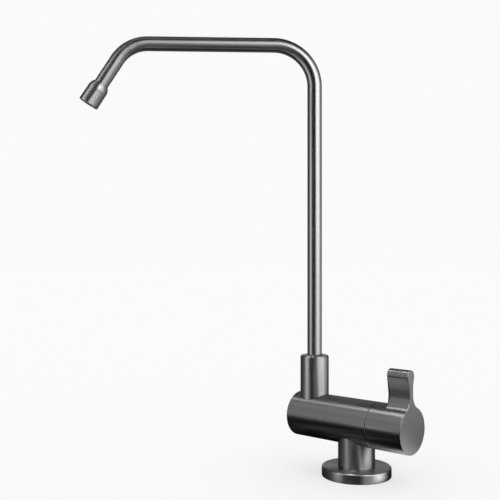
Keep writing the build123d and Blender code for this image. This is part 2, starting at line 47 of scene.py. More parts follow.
# The photograph is a level shot from about 0.55 m, a little left of the base and just above the
# middle of the spout, through a short telephoto lens on a square picture.
camera_place = (-98.2 * mm, -538.5 * mm, 149.6 * mm)
camera_turn = radians(2.911)  # from +Y towards +X
sensor_width = 36.0  # in millimetres, as the focal length
focal_length = 58.85
nearest_seen = 10 * mm
camera_lens = bpy.data.cameras.new("camera")
camera_lens.sensor_width = sensor_width
camera_lens.lens = focal_length
camera_lens.clip_start = nearest_seen
camera = bpy.data.objects.new("camera", camera_lens)
camera.location = camera_place
camera.rotation_euler = (pi / 2, 0, -camera_turn)
bpy.context.scene.collection.objects.link(camera)
bpy.context.scene.camera = camera

# Base flange: a turned disc of stainless steel with a rounded upper edge, a groove underneath for
# the gasket and a bore for the pedestal's foot. Brushed on the lathe and coated dark grey.
flange_low, flange_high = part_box("base_flange")
flange_radius = (flange_high.x - flange_low.x) / 2
flange_top = flange_high.z
flange_edge_round = 1.0 * mm
flange_foot_round = 0.4 * mm
flange_bore_radius = 9.05 * mm
gasket_groove_inner = 14.45 * mm
gasket_groove_outer = 19.55 * mm
gasket_groove_depth = 1.5 * mm
gunmetal_tone = (0.15, 0.147, 0.149)
coat_tint = (0.6, 0.595, 0.6, 1)  # of what the coat mirrors at a low angle
fine_grooves = 6000.0  # to the metre, as the coarse ones
coarse_grooves = 1100.0
coarse_share = 0.45
groove_tube_radius = 2.5  # in grains of the noise, so a groove changes 16 times on its way round
noise_low, noise_high = 0.3, 0.7
groove_gloss_change = 0.03
brushing_strength = 0.95
quarter_turn = 0.25  # turns the spread of the reflections across the grooves
sharp_angle = radians(35)
merge_distance = 0.0002 * mm
upright_axes = np.array([(1, 0, 0), (0, 1, 0), (0, 0, 1)], float)
base_place = np.zeros(3)


def rounded_outline(corners, steps=9):
    """Closed outline with rounded corners, each given as (radius, height, rounding).

    A corner's arc touches both of its sides: its centre lies on the bisector, at the rounding
    divided by the cosine of half the turn, and its points swing about that centre by half the
    turn each way. A sharp corner is its own point, repeated, which the mesh merges."""
    corners = np.array(corners, float)
    place, rounding = corners[:, :2], corners[:, 2]
    back = np.roll(place, 1, axis=0) - place
    ahead = np.roll(place, -1, axis=0) - place
    back /= np.linalg.norm(back, axis=1, keepdims=True)
    ahead /= np.linalg.norm(ahead, axis=1, keepdims=True)
    inward = (back + ahead) / np.linalg.norm(back + ahead, axis=1, keepdims=True)
    across = (ahead - back) / np.linalg.norm(ahead - back, axis=1, keepdims=True)
    half_turn = np.arccos(np.clip(-(back * ahead).sum(axis=1), -1, 1)) / 2
    centre = place + inward * (rounding / np.cos(half_turn))[:, None]
    swing = np.linspace(-1, 1, steps) * half_turn[:, None]
    spoke = across[:, None] * np.sin(swing)[..., None] - inward[:, None] * np.cos(swing)[..., None]
    return (centre[:, None] + spoke * rounding[:, None, None]).reshape(-1, 2)


def turned(outline, axes, place, columns=288):
    """Surface of revolution as rows of rings: place + radius (cos a first axis + sin a second
    axis) + height third axis, for every outline point (radius, height) and every angle a."""
    angle = np.arange(columns) * (2 * pi / columns)
    ring = np.stack([np.cos(angle), np.sin(angle)], axis=1) @ axes[:2]
    return place + outline[:, :1, None] * ring + outline[:, 1:, None] * axes[2]


def face_corners(grid, join_rows=False, join_columns=False):
    """Rows, columns and places in the list of points of each face's four corners.

    Every four neighbouring points of a grid make a face. Where rows or columns join up, the
    last of them is followed by the first."""
    rows, columns = grid.shape[:2]
    row, column = np.meshgrid(
        np.arange(rows if join_rows else rows - 1),
        np.arange(columns if join_columns else columns - 1),
        indexing="ij",
    )
    corner_rows = np.stack([row, row, row + 1, row + 1], axis=-1).reshape(-1, 4)
    corner_columns = np.stack([column, column + 1, column + 1, column], axis=-1).reshape(-1, 4)
    return corner_rows, corner_columns, (corner_rows % rows) * columns + corner_columns % columns


def add_piece(name, grids, material, body, node):
    """Makes one mesh of several grids of points, given as (points, rows join up, columns join up).

    The map called turning gives each corner of a face the share of the way round its row and
    its distance along the column, in metres. Points that meet are merged, faces turned
    outwards and sharp edges kept sharp."""
    points, faces, turning = [], [], []
    for grid, join_rows, join_columns in grids:
        corner_rows, corner_columns, corners = face_corners(grid, join_rows, join_columns)
        step = np.linalg.norm(np.diff(grid[:, :1], axis=0, append=grid[:1, :1]), axis=-1)[:, 0]
        along = np.concatenate([[0], np.cumsum(step)])
        turning.append(np.stack([corner_columns / grid.shape[1], along[corner_rows]], axis=-1))
        faces.append(sum(len(p) for p in points) + corners)
        points.append(grid.reshape(-1, 3))
    mesh = bpy.data.meshes.new(name)
    mesh.from_pydata(np.concatenate(points).tolist(), [], np.concatenate(faces).tolist())
    mesh.uv_layers.new(name="turning").uv.foreach_set("vector", np.concatenate(turning).ravel())
    shape = bmesh.new()
    shape.from_mesh(mesh)
    bmesh.ops.remove_doubles(shape, verts=shape.verts, dist=merge_distance)
    bmesh.ops.recalc_face_normals(shape, faces=shape.faces)
    shape.to_mesh(mesh)
    shape.free()
    mesh.shade_smooth()
    mesh.set_sharp_from_angle(angle=sharp_angle)
    mesh.materials.append(material)
    piece = bpy.data.objects.new(name, mesh)
    bpy.context.scene.collection.objects.link(piece)
    flats = piece.modifiers.new("flat faces stay flat", "WEIGHTED_NORMAL")
    flats.keep_sharp = True
    flats.weight = 100
    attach(piece, body)
    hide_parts(node)
    return piece


def brushed_steel(name, tone, roughness, streaks=0.05):
    """Steel brushed round its axis and coated. The way round and the distance along become a
    point on a thin tube, so a noise stretched round it gives grooves that close on themselves.
    The grooves vary the colour and gloss a little and spread the reflections across
    themselves."""
    material = bpy.data.materials.new(name)
    material.use_nodes = True
    nodes, links = material.node_tree.nodes, material.node_tree.links
    shader = nodes["Principled BSDF"]
    turning = nodes.new("ShaderNodeUVMap")
    turning.uv_map = "turning"
    parts = nodes.new("ShaderNodeSeparateXYZ")
    links.new(turning.outputs["UV"], parts.inputs[0])
    angle = nodes.new("ShaderNodeMath")
    angle.operation = "MULTIPLY"
    angle.inputs[1].default_value = 2 * pi
    links.new(parts.outputs["X"], angle.inputs[0])
    tube_point = nodes.new("ShaderNodeCombineXYZ")
    for operation, socket in (("COSINE", "X"), ("SINE", "Y")):
        share = nodes.new("ShaderNodeMath")
        share.operation = operation
        links.new(angle.outputs[0], share.inputs[0])
        links.new(share.outputs[0], tube_point.inputs[socket])
    links.new(parts.outputs["Y"], tube_point.inputs["Z"])
    grooves = {}
    for groove, per_metre in (("fine", fine_grooves), ("coarse", coarse_grooves)):
        stretch = nodes.new("ShaderNodeVectorMath")
        stretch.operation = "MULTIPLY"
        stretch.inputs[1].default_value = (groove_tube_radius, groove_tube_radius, per_metre)
        links.new(tube_point.outputs[0], stretch.inputs[0])
        noise = nodes.new("ShaderNodeTexNoise")
        noise.inputs["Scale"].default_value = 1.0
        noise.inputs["Detail"].default_value = 2.0
        links.new(stretch.outputs[0], noise.inputs["Vector"])
        grooves[groove] = noise
    both = nodes.new("ShaderNodeMix")
    both.inputs[0].default_value = coarse_share
    links.new(grooves["fine"].outputs["Fac"], both.inputs[2])
    links.new(grooves["coarse"].outputs["Fac"], both.inputs[3])
    colour = nodes.new("ShaderNodeValToRGB")
    colour.color_ramp.elements[0].position = noise_low
    colour.color_ramp.elements[1].position = noise_high
    for element, change in zip(colour.color_ramp.elements, (-streaks, streaks)):
        element.color = (*(channel * (1 + change) for channel in tone), 1)
    links.new(both.outputs[0], colour.inputs[0])
    links.new(colour.outputs[0], shader.inputs["Base Color"])
    gloss = nodes.new("ShaderNodeMapRange")
    gloss.inputs["From Min"].default_value = noise_low
    gloss.inputs["From Max"].default_value = noise_high
    gloss.inputs["To Min"].default_value = roughness - groove_gloss_change
    gloss.inputs["To Max"].default_value = roughness + groove_gloss_change
    links.new(both.outputs[0], gloss.inputs["Value"])
    links.new(gloss.outputs[0], shader.inputs["Roughness"])
    round_the_axis = nodes.new("ShaderNodeTangent")
    round_the_axis.direction_type = "UV_MAP"
    round_the_axis.uv_map = "turning"
    links.new(round_the_axis.outputs[0], shader.inputs["Tangent"])
    shader.inputs["Metallic"].default_value = 1.0
    shader.inputs["Specular Tint"].default_value = coat_tint
    shader.inputs["Anisotropic"].default_value = brushing_strength
    shader.inputs["Anisotropic Rotation"].default_value = quarter_turn
    return material


body_finish = brushed_steel("brushed gunmetal", gunmetal_tone, roughness=0.3)
flange_outline = rounded_outline(
    [
        (flange_bore_radius, 0, 0),
        (gasket_groove_inner, 0, 0),
        (gasket_groove_inner, gasket_groove_depth, 0),
        (gasket_groove_outer, gasket_groove_depth, 0),
        (gasket_groove_outer, 0, 0),
        (flange_radius, 0, flange_foot_round),
        (flange_radius, flange_top, flange_edge_round),
        (flange_bore_radius, flange_top, 0),
    ]
)
flange = turned(flange_outline, upright_axes, base_place)
add_piece(
    "base_flange_turned", [(flange, True, True)], body_finish, "tap_body", "base_flange"
)

# Base gasket: a flat ring of black rubber, pressed into the flange's groove, that seals the flange
# to the worktop. It is the frame's own ring with a dull, slightly mottled rubber surface.
rubber_tone = (0.022, 0.022, 0.023)
grain_low, grain_high = 0.35, 0.65
grain_gloss_change = 0.1


def moulded(name, tone, roughness, grain_size, variation):
    """Dull moulded or turned surface: a noise in the piece's own place varies its colour by a
    share of the tone and its roughness by a tenth, at the size of its grain."""
    material = bpy.data.materials.new(name)
    material.use_nodes = True
    nodes, links = material.node_tree.nodes, material.node_tree.links
    shader = nodes["Principled BSDF"]
    place = nodes.new("ShaderNodeTexCoord")
    grain = nodes.new("ShaderNodeTexNoise")
    grain.inputs["Scale"].default_value = 1 / grain_size
    grain.inputs["Detail"].default_value = 3.0
    links.new(place.outputs["Object"], grain.inputs["Vector"])
    colour = nodes.new("ShaderNodeValToRGB")
    colour.color_ramp.elements[0].position = grain_low
    colour.color_ramp.elements[1].position = grain_high
    for element, change in zip(colour.color_ramp.elements, (-variation, variation)):
        element.color = (*(channel * (1 + change) for channel in tone), 1)
    links.new(grain.outputs["Fac"], colour.inputs[0])
    links.new(colour.outputs[0], shader.inputs["Base Color"])
    gloss = nodes.new("ShaderNodeMapRange")
    gloss.inputs["To Min"].default_value = roughness * (1 - grain_gloss_change)
    gloss.inputs["To Max"].default_value = roughness * (1 + grain_gloss_change)
    links.new(grain.outputs["Fac"], gloss.inputs["Value"])
    links.new(gloss.outputs[0], shader.inputs["Roughness"])
    return material, shader


def finish_node(node, material):
    """Gives a node of the frame its surface."""
    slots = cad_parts[node].data.materials
    slots.clear()
    slots.append(material)


rubber, _ = moulded("black rubber", rubber_tone, roughness=0.6, grain_size=1.2 * mm, variation=0.15)
finish_node("base_gasket", rubber)

# Pedestal: a turned column of the same brushed steel. Its top is cut to the round body's curve and
# brazed there, and its foot goes down through the flange, with a fine thread for the inlet shank.
pedestal_low, pedestal_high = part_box("pedestal_column")
pedestal_radius = (pedestal_high.x - pedestal_low.x) / 2
body_radius = 15.2 * mm
body_axis_height = 35.5 * mm
body_turn = radians(45)
saddle_gap = 0.05 * mm
foot_radius = 9.0 * mm
foot_round = 0.3 * mm
waterway_radius = 4.0 * mm
thread_radius = 5.5 * mm
thread_depth = 14.0 * mm
thread_pitch = 1.0 * mm
thread_height = 0.35 * mm
rows_per_turn = 12
thread_rows = round(thread_depth / thread_pitch) * rows_per_turn
saddle_rows = 12
body_side = np.array([sin(body_turn), cos(body_turn), 0])
body_axes = np.array([body_side, (0, 0, 1), (cos(body_turn), -sin(body_turn), 0)])
body_place = np.array([0, 0, body_axis_height])


def saddle(points, side):
    """Height of a round bar's surface over each point: the axis's height, plus side times the
    root of the bar's radius squared less the level distance from its axis squared."""
    off_axis = points @ body_side
    return body_axis_height + side * np.sqrt((body_radius + saddle_gap) ** 2 - off_axis**2)


column_outline = rounded_outline(
    [
        (thread_radius, 0, foot_round),
        (foot_radius, 0, foot_round),
        (foot_radius, flange_top, 0),
        (pedestal_radius, flange_top, 0),
    ]
)
saddle_reach = np.linspace(pedestal_radius, waterway_radius, saddle_rows)
saddle_outline = np.stack([saddle_reach, np.full(saddle_rows, pedestal_high.z)], axis=1)
bore_height = np.linspace(thread_depth, foot_round, thread_rows)
bore_outline = np.stack([np.full(thread_rows, thread_radius), bore_height], axis=1)
waterway_end = np.array([(waterway_radius, thread_depth)])
pedestal = turned(
    np.concatenate([column_outline, saddle_outline, waterway_end, bore_outline]),
    upright_axes,
    base_place,
)
saddle_part = slice(len(column_outline), len(column_outline) + saddle_rows)
pedestal[saddle_part, :, 2] = saddle(pedestal[saddle_part], -1)
bore = pedestal[-thread_rows:]
way_round = np.arange(bore.shape[1]) / bore.shape[1]
groove_phase = (bore[..., 2] / thread_pitch - way_round) % 1
to_an_end = np.minimum(bore_height - foot_round, thread_depth - bore_height)
run_out = np.clip(to_an_end / thread_pitch, 0, 1)[:, None]
groove_depth = run_out * thread_height * np.abs(2 * groove_phase - 1)
bore[..., :2] *= (1 + groove_depth / thread_radius)[..., None]
add_piece(
    "pedestal_turned", [(pedestal, True, True)], body_finish, "tap_body", "pedestal_column"
)

# Valve body: the middle of the round bar, bored from both ends, with the seat wall between the
# bores. Turned from the same steel as the pedestal and brushed duller, its outer edges just broken.
# Its tone is painted darker than the pedestal's: painted shade on the whole bar and the lever.
rear_seam = -15.5 * mm
valve_front = 16.25 * mm
edge_break = 0.2 * mm
joint_bore_radius = 11.05 * mm
joint_bore_floor = -9.5 * mm
seat_face = -6.5 * mm
seat_port_radius = 4.0 * mm
thread_bore_radius = 10.15 * mm
flange_seat = 13.0 * mm
counterbore_radius = 12.4 * mm
lip_radius = 14.4 * mm
lip_floor = 15.2 * mm
# The bar's tone: the same coated steel as the pedestal, painted darker as painted shade.
shaded_bar_tone = (0.103, 0.101, 0.102)
shaded_bar_finish = brushed_steel("brushed gunmetal of the bar painted darker", shaded_bar_tone, roughness=0.42)
valve_outline = rounded_outline(
    [
        (seat_port_radius, joint_bore_floor, 0),
        (joint_bore_radius, joint_bore_floor, 0),
        (joint_bore_radius, rear_seam, 0),
        (body_radius, rear_seam, edge_break),
        (body_radius, valve_front, edge_break),
        (lip_radius, valve_front, 0),
        (lip_radius, lip_floor, 0),
        (counterbore_radius, lip_floor, 0),
        (counterbore_radius, flange_seat, 0),
        (thread_bore_radius, flange_seat, 0),
        (thread_bore_radius, seat_face, 0),
        (seat_port_radius, seat_face, 0),
    ]
)
valve = turned(valve_outline, body_axes, body_place)
add_piece("valve_body_turned", [(valve, True, True)], shaded_bar_finish, "tap_body", "valve_body")

# Rear body: the closed end of the bar, with a rounded rear edge. A thin spigot with a sealing ring
# enters the valve body, so only a hairline seam shows between the two.
rear_end = -48.0 * mm
rear_edge_round = 1.0 * mm
rear_wall = 5.0 * mm
spigot_radius = 11.0 * mm
spigot_end = -9.8 * mm
spigot_bore_radius = 8.0 * mm
ring_groove_place = -12.5 * mm
ring_groove_half_width = 0.95 * mm
ring_groove_floor = 9.4 * mm
rear_outline = rounded_outline(
    [
        (0, rear_end, 0),
        (body_radius, rear_end, rear_edge_round),
        (body_radius, rear_seam, edge_break),
        (spigot_radius, rear_seam, 0),
        (spigot_radius, ring_groove_place - ring_groove_half_width, 0),
        (ring_groove_floor, ring_groove_place - ring_groove_half_width, 0),
        (ring_groove_floor, ring_groove_place + ring_groove_half_width, 0),
        (spigot_radius, ring_groove_place + ring_groove_half_width, 0),
        (spigot_radius, spigot_end, 0),
        (spigot_bore_radius, spigot_end, 0),
        (spigot_bore_radius, rear_end + rear_wall, 0),
        (0, rear_end + rear_wall, 0),
    ]
)
rear = turned(rear_outline, body_axes, body_place)
add_piece("rear_body_turned", [(rear, False, True)], shaded_bar_finish, "tap_body", "rear_body")
finish_node("body_joint_seal", rubber)

# Spout collar: an upright sleeve of the same steel, its foot cut to the round body and brazed on.
# Its mouth has a broad chamfer, and a small tapped hole at the back takes the retaining screw.
collar_low, collar_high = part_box("spout_collar")
collar_place = np.array([(collar_low.x + collar_high.x) / 2, (collar_low.y + collar_high.y) / 2, 0])
collar_radius = (collar_high.x - collar_low.x) / 2
collar_top = collar_high.z
collar_bore_radius = 6.9 * mm
collar_chamfer = 0.8 * mm
chamfer_round = 0.25 * mm
mouth_round = 0.15 * mm
screw_hole_radius = 2.05 * mm
screw_hole_height = 63.8 * mm
screw_hole_columns = 48
# The collar's tone: the same coated steel, painted lighter than the bar's as painted light.
lit_collar_tone = (0.165, 0.162, 0.164)
lit_collar_finish = brushed_steel("brushed gunmetal of the collar painted lighter", lit_collar_tone, roughness=0.34)
collar_outline = rounded_outline(
    [
        (collar_bore_radius, body_axis_height, 0),
        (collar_radius, body_axis_height, 0),
        (collar_radius, collar_top - collar_chamfer, chamfer_round),
        (collar_radius - collar_chamfer, collar_top, chamfer_round),
        (collar_bore_radius, collar_top, mouth_round),
    ]
)
collar = turned(collar_outline, upright_axes, collar_place)
foot_part = collar_outline[:, 1] < body_axis_height + mouth_round
collar[foot_part, :, 2] = saddle(collar[foot_part], 1)
collar_piece = add_piece(
    "spout_collar_turned", [(collar, True, True)], lit_collar_finish, "tap_body", "spout_collar"
)


def cut_hole(piece, place, axes, radius, length):
    """Cuts a round hole through a piece, from a place along the third of the axes, and turns
    the cut into the piece's own mesh. The drill is a closed cylinder: a turned side and the
    ring of points at each of its ends as a face."""
    side = turned(np.array([(radius, 0), (radius, length)]), axes, place, screw_hole_columns)
    ends = np.arange(2 * screw_hole_columns).reshape(2, screw_hole_columns)
    corners = face_corners(side, join_columns=True)[2]
    mesh = bpy.data.meshes.new("drill")
    mesh.from_pydata(side.reshape(-1, 3).tolist(), [], ends.tolist() + corners.tolist())
    shape = bmesh.new()
    shape.from_mesh(mesh)
    bmesh.ops.recalc_face_normals(shape, faces=shape.faces)
    shape.to_mesh(mesh)
    shape.free()
    drill = bpy.data.objects.new("drill", mesh)
    bpy.context.scene.collection.objects.link(drill)
    cut = piece.modifiers.new("hole", "BOOLEAN")
    cut.object = drill
    cut.solver = "EXACT"
    weighting = piece.modifiers[0]
    weighting.show_viewport = False
    evaluated = piece.evaluated_get(bpy.context.evaluated_depsgraph_get())
    cut_mesh = bpy.data.meshes.new_from_object(evaluated)
    piece.modifiers.remove(cut)
    weighting.show_viewport = True
    piece.data = cut_mesh
    cut_mesh.set_sharp_from_angle(angle=sharp_angle)
    bpy.data.objects.remove(drill)


backward_axes = np.array([(1, 0, 0), (0, 0, -1), (0, 1, 0)], float)
cut_hole(
    collar_piece,
    collar_place + (0, 0, screw_hole_height),
    backward_axes,
    screw_hole_radius,
    collar_radius + collar_chamfer,
)

# Guide bush: a ring of dark acetal pressed into the collar's mouth. Its low cone stands out round
# the foot of the tube, which turns in it.
bush_bore_radius = 5.05 * mm
bush_length = 4.6 * mm
cone_foot_radius = 6.0 * mm
cone_top_radius = 5.35 * mm
cone_height = 0.7 * mm
cone_round = 0.1 * mm
acetal_tone = (0.03, 0.03, 0.031)
acetal, _ = moulded("dark acetal", acetal_tone, roughness=0.35, grain_size=0.8 * mm, variation=0.12)
bush_outline = rounded_outline(
    [
        (bush_bore_radius, collar_top - bush_length, 0),
        (collar_bore_radius, collar_top - bush_length, 0),
        (collar_bore_radius, collar_top, cone_round),
        (cone_foot_radius, collar_top, 0),
        (cone_top_radius, collar_top + cone_height, cone_round),
        (bush_bore_radius, collar_top + cone_height, cone_round / 2),
    ]
)
bush = turned(bush_outline, upright_axes, collar_place)
add_piece("guide_bush_turned", [(bush, True, True)], acetal, "tap_body", "spout_guide_bush")

# Retaining screw: a small grub screw of plain steel in the collar's back. Its dog point runs in the
# ferrule's groove and holds the spout down while it turns.
plain_steel_tone = (0.46, 0.45, 0.44)
plain_steel, plain_steel_shader = moulded(
    "plain steel", plain_steel_tone, roughness=0.3, grain_size=0.5 * mm, variation=0.08
)
plain_steel_shader.inputs["Metallic"].default_value = 1.0
finish_node("spout_retaining_screw", plain_steel)

# Quarter-turn cartridge: a turned brass cartridge screwed into the valve body, with rubber rings,
# two white ceramic discs and a spindle held by a spring clip. All of it is hidden inside.
brass_tone = (0.56, 0.39, 0.17)
ceramic_tone = (0.78, 0.77, 0.74)
brass, brass_shader = moulded(
    "turned brass", brass_tone, roughness=0.32, grain_size=0.6 * mm, variation=0.08
)
brass_shader.inputs["Metallic"].default_value = 1.0
ceramic, _ = moulded(
    "lapped ceramic", ceramic_tone, roughness=0.22, grain_size=2.0 * mm, variation=0.02
)
for node in ("cartridge_body", "spindle"):
    finish_node(node, brass)
for node in ("cartridge_o_ring", "cartridge_seat_seal", "spindle_o_ring"):
    finish_node(node, rubber)
for node in ("fixed_ceramic_disc", "turning_ceramic_disc"):
    finish_node(node, ceramic)
finish_node("spindle_circlip", plain_steel)

# Glide ring: a thin ring of pale nylon between the valve body and the lever's hub. It takes the
# rubbing when the lever turns, and shows as a fine light line in the seam.
glide_outer_radius = 14.35 * mm
hub_back = 16.75 * mm
glide_round = 0.1 * mm
nylon_tone = (0.75, 0.74, 0.7)
nylon, _ = moulded("pale nylon", nylon_tone, roughness=0.45, grain_size=0.8 * mm, variation=0.04)
glide_outline = rounded_outline(
    [
        (counterbore_radius, lip_floor, 0),
        (glide_outer_radius, lip_floor, 0),
        (glide_outer_radius, hub_back, glide_round),
        (counterbore_radius, hub_back, 0),
    ]
)
glide = turned(glide_outline, body_axes, body_place)
add_piece("glide_ring_turned", [(glide, True, True)], nylon, "tap_body", "handle_glide_ring")

# Lever: one machined piece, a round hub of the bar's diameter whose front half grows up into a
# flared blade with a thin neck and a round end. Brushed like the bar, with the bar's painted-darker
# tone (painted shade) on hub and blade, and the flange's plain, lighter tone on the front face.
lever_front = 42.5 * mm
hub_floor = 26.0 * mm
hub_bore_radius = 12.6 * mm
blade_back = 27.5 * mm
blade_top = 38.6 * mm
bulb_radius = 4.15 * mm
half_waist = 2.3 * mm
waist_height = 24.0 * mm
flare_radius = 9.0 * mm
front_round = 0.35 * mm
lever_lean = radians(3)
lean_axes = np.array(
    [
        cos(lever_lean) * body_axes[0] + sin(lever_lean) * body_axes[1],
        cos(lever_lean) * body_axes[1] - sin(lever_lean) * body_axes[0],
        body_axes[2],
    ]
)
hub_steps = 96
blade_steps = 28
edge_steps = 6
face_columns = 13
face_depth = 0.05 * mm
straight_ahead = 0.99  # share of a face's normal that points forward


def arc(centre, radius, start, end, steps):
    """Points of a circle's arc, evenly spaced by angle from start to end, both ends included."""
    angle = np.linspace(start, end, steps)
    return np.stack([centre[0] + radius * np.cos(angle), centre[1] + radius * np.sin(angle)], axis=1)


def half_lever(inset):
    """Right half of the lever's front outline from the hub's bottom to the blade's top, moved
    inwards by the inset. The hub's arc ends where the flare's circle touches it, the flare ends
    on the straight waist, and the neck's circle touches the waist and the round end."""
    flare_x = half_waist + flare_radius
    flare_y = ((body_radius + flare_radius) ** 2 - flare_x**2) ** 0.5
    touch = np.arctan2(flare_y, flare_x)
    bulb_y = blade_top - bulb_radius
    rise = bulb_y - waist_height
    neck_radius = (rise**2 + half_waist**2 - bulb_radius**2) / (2 * (bulb_radius - half_waist))
    neck_x = half_waist + neck_radius
    neck_turn = np.arccos(neck_x / (bulb_radius + neck_radius))
    return np.concatenate(
        [
            arc((0, 0), body_radius - inset, -pi / 2, touch, hub_steps),
            arc((flare_x, flare_y), flare_radius + inset, pi + touch, pi, blade_steps)[1:],
            arc((neck_x, waist_height), neck_radius + inset, pi, pi - neck_turn, blade_steps),
            arc((0, bulb_y), bulb_radius - inset, -neck_turn, pi / 2, blade_steps)[1:],
        ]
    ), touch


def lever_loop(half):
    """Full outline: the right half going up and its mirror image coming down."""
    return np.concatenate([half[:-1], (half * (-1, 1))[:0:-1]])


def at_along(outline, along):
    """Places flat outline points in the lever's leaning frame, at a distance along the body."""
    return body_place + outline @ lean_axes[:2] + along * lean_axes[2]


edge_rows = []
for swing in np.linspace(0, pi / 2, edge_steps):
    inset_loop = lever_loop(half_lever(front_round * (1 - sin(swing)))[0])
    edge_rows.append(at_along(inset_loop, lever_front - front_round * (1 - cos(swing))))
half_outline, touch = half_lever(0)
hub_top = arc((0, 0), body_radius, touch, pi / 2, len(half_outline) - hub_steps + 1)[1:]
hub_loop = lever_loop(np.concatenate([half_outline[:hub_steps], hub_top]))
bore_loop = hub_loop * hub_bore_radius / body_radius
lever_rows = edge_rows + [
    at_along(lever_loop(half_outline), blade_back),
    at_along(hub_loop, blade_back),
    at_along(hub_loop, hub_back + edge_break),
    at_along(hub_loop * (1 - edge_break / body_radius), hub_back),
    at_along(bore_loop, hub_back),
    at_along(bore_loop, hub_floor),
    at_along(bore_loop * 0, hub_floor),
]
across_face = np.stack([np.linspace(-1, 1, face_columns), np.ones(face_columns)], axis=1)
face_grid = at_along(half_lever(front_round)[0][:, None] * across_face, lever_front)
lever = add_piece(
    "lever_machined",
    [(np.stack(lever_rows), False, True), (face_grid, False, False)],
    shaded_bar_finish,
    "handle",
    "lever_handle",
)
face_finish = brushed_steel("brushed gunmetal of the face", gunmetal_tone, roughness=0.36)
lever.data.materials.append(face_finish)
facing, middle = np.empty((2, len(lever.data.polygons), 3), np.float32)
lever.data.polygons.foreach_get("normal", facing.ravel())
lever.data.polygons.foreach_get("center", middle.ravel())
forward = (middle - body_place) @ lean_axes[2]
on_the_face = (facing @ lean_axes[2] > straight_ahead) & (forward > lever_front - face_depth)
lever.data.polygons.foreach_set("material_index", on_the_face.astype(np.int32))
finish_node("handle_set_screw", plain_steel)

# Spout tube: a 10 mm steel tube with a 1 mm wall, bent cold round two formers, first a right angle
# and then 57 degrees down. It is brushed finer than the body, so its grooves show less, and its tone
# is painted lighter than the bar's, as painted light.
tube_low, tube_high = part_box("spout_tube")
tube_radius = 5.0 * mm
tube_bore_radius = 4.0 * mm
first_bend_radius = 28.5 * mm
second_bend_radius = 25.0 * mm
level_height = tube_high.z - tube_radius
level_run = 86.4 * mm
drop_turn = radians(57)
drop_run = 20.0 * mm
socket_depth = 4.5 * mm
bend_steps = 61
tube_columns = 128
lit_tube_tone = (0.155, 0.152, 0.154)


def spout_line():
    """Centre line in the upright plane of the spout, with its forward directions: up, a quarter
    turn, level, a second turn, and down. A bend's points lie at the bend's radius from its
    centre, and each straight is the gap between two bends."""
    turn_one = np.linspace(0, pi / 2, bend_steps)
    turn_two = np.linspace(0, drop_turn, bend_steps)
    start = np.array([(0, tube_low.z)])
    top_one = level_height - first_bend_radius
    one = np.stack(
        [
            first_bend_radius * (np.cos(turn_one) - 1),
            top_one + first_bend_radius * np.sin(turn_one),
        ],
        axis=1,
    )
    bend_two_start = -first_bend_radius - level_run
    two = np.stack(
        [
            bend_two_start - second_bend_radius * np.sin(turn_two),
            level_height - second_bend_radius * (1 - np.cos(turn_two)),
        ],
        axis=1,
    )
    down = np.array([-cos(drop_turn), -sin(drop_turn)])
    end = two[-1:] + down * (drop_run + socket_depth)
    line = np.concatenate([start, one, two, end])
    heading = np.concatenate([[pi / 2], pi / 2 + turn_one, pi + turn_two, [pi + drop_turn]])
    return line, heading, two[-1] + down * drop_run, down


spout_points, heading, nozzle_start, nozzle_way = spout_line()
centres = np.stack(
    [
        collar_place[0] + spout_points[:, 0],
        np.full(len(spout_points), collar_place[1]),
        spout_points[:, 1],
    ],
    axis=1,
)
outward = np.stack([np.sin(heading), np.zeros(len(heading)), -np.cos(heading)], axis=1)
tube_angle = np.arange(tube_columns) * (2 * pi / tube_columns)
ring_shape = (
    np.cos(tube_angle)[None, :, None] * outward[:, None]
    + np.sin(tube_angle)[None, :, None] * np.array([0, 1, 0])
)
outer_skin = centres[:, None] + tube_radius * ring_shape
inner_skin = centres[:, None] + tube_bore_radius * ring_shape
lit_tube_finish = brushed_steel("satin tube gunmetal painted lighter", lit_tube_tone, roughness=0.34, streaks=0.03)
add_piece(
    "spout_tube_bent",
    [(np.concatenate([outer_skin, inner_skin[::-1]]), True, True)],
    lit_tube_finish,
    "spout",
    "spout_tube",
)

# Ferrule and its rings: a turned brass sleeve brazed on the tube's foot, with two rubber rings that
# seal it in the collar. Both are hidden inside the collar.
finish_node("spout_ferrule", brass)
finish_node("ferrule_o_rings", rubber)

# Nozzle: a turned housing pressed on the tube's end, with a rounded shoulder and a slightly flared
# mouth. Brushed like the collar, with the collar's painted-lighter tone (painted light). The aerator
# sits in its chamber.
nozzle_length = 16.1 * mm
neck_radius = 5.4 * mm
shoulder_radius = 6.95 * mm
shoulder_length = 6.0 * mm
shoulder_bulge = 0.6 * mm
mouth_radius = 7.15 * mm
mouth_edge_round = 0.6 * mm
mouth_inner_round = 0.2 * mm
chamber_radius = 6.15 * mm
chamber_start = 6.0 * mm
shoulder_steps = 25
nozzle_axes = np.array([(0, 1, 0), (nozzle_way[1], 0, -nozzle_way[0]), (nozzle_way[0], 0, nozzle_way[1])])
nozzle_place = np.array([collar_place[0] + nozzle_start[0], collar_place[1], nozzle_start[1]])
neck_point = np.array([neck_radius, 0])
shoulder_point = np.array([shoulder_radius, shoulder_length])
chord = shoulder_point - neck_point
half_chord = np.linalg.norm(chord) / 2
crown_radius = (half_chord**2 + shoulder_bulge**2) / (2 * shoulder_bulge)
crown_outward = np.array([chord[1], -chord[0]]) / (2 * half_chord)
crown_centre = (neck_point + shoulder_point) / 2 + crown_outward * (shoulder_bulge - crown_radius)
half_crown = np.arcsin(half_chord / crown_radius)
crown_swing = np.linspace(-half_crown, half_crown, shoulder_steps)[:, None]
crown = crown_centre + crown_radius * (
    np.cos(crown_swing) * crown_outward + np.sin(crown_swing) * chord / (2 * half_chord)
)
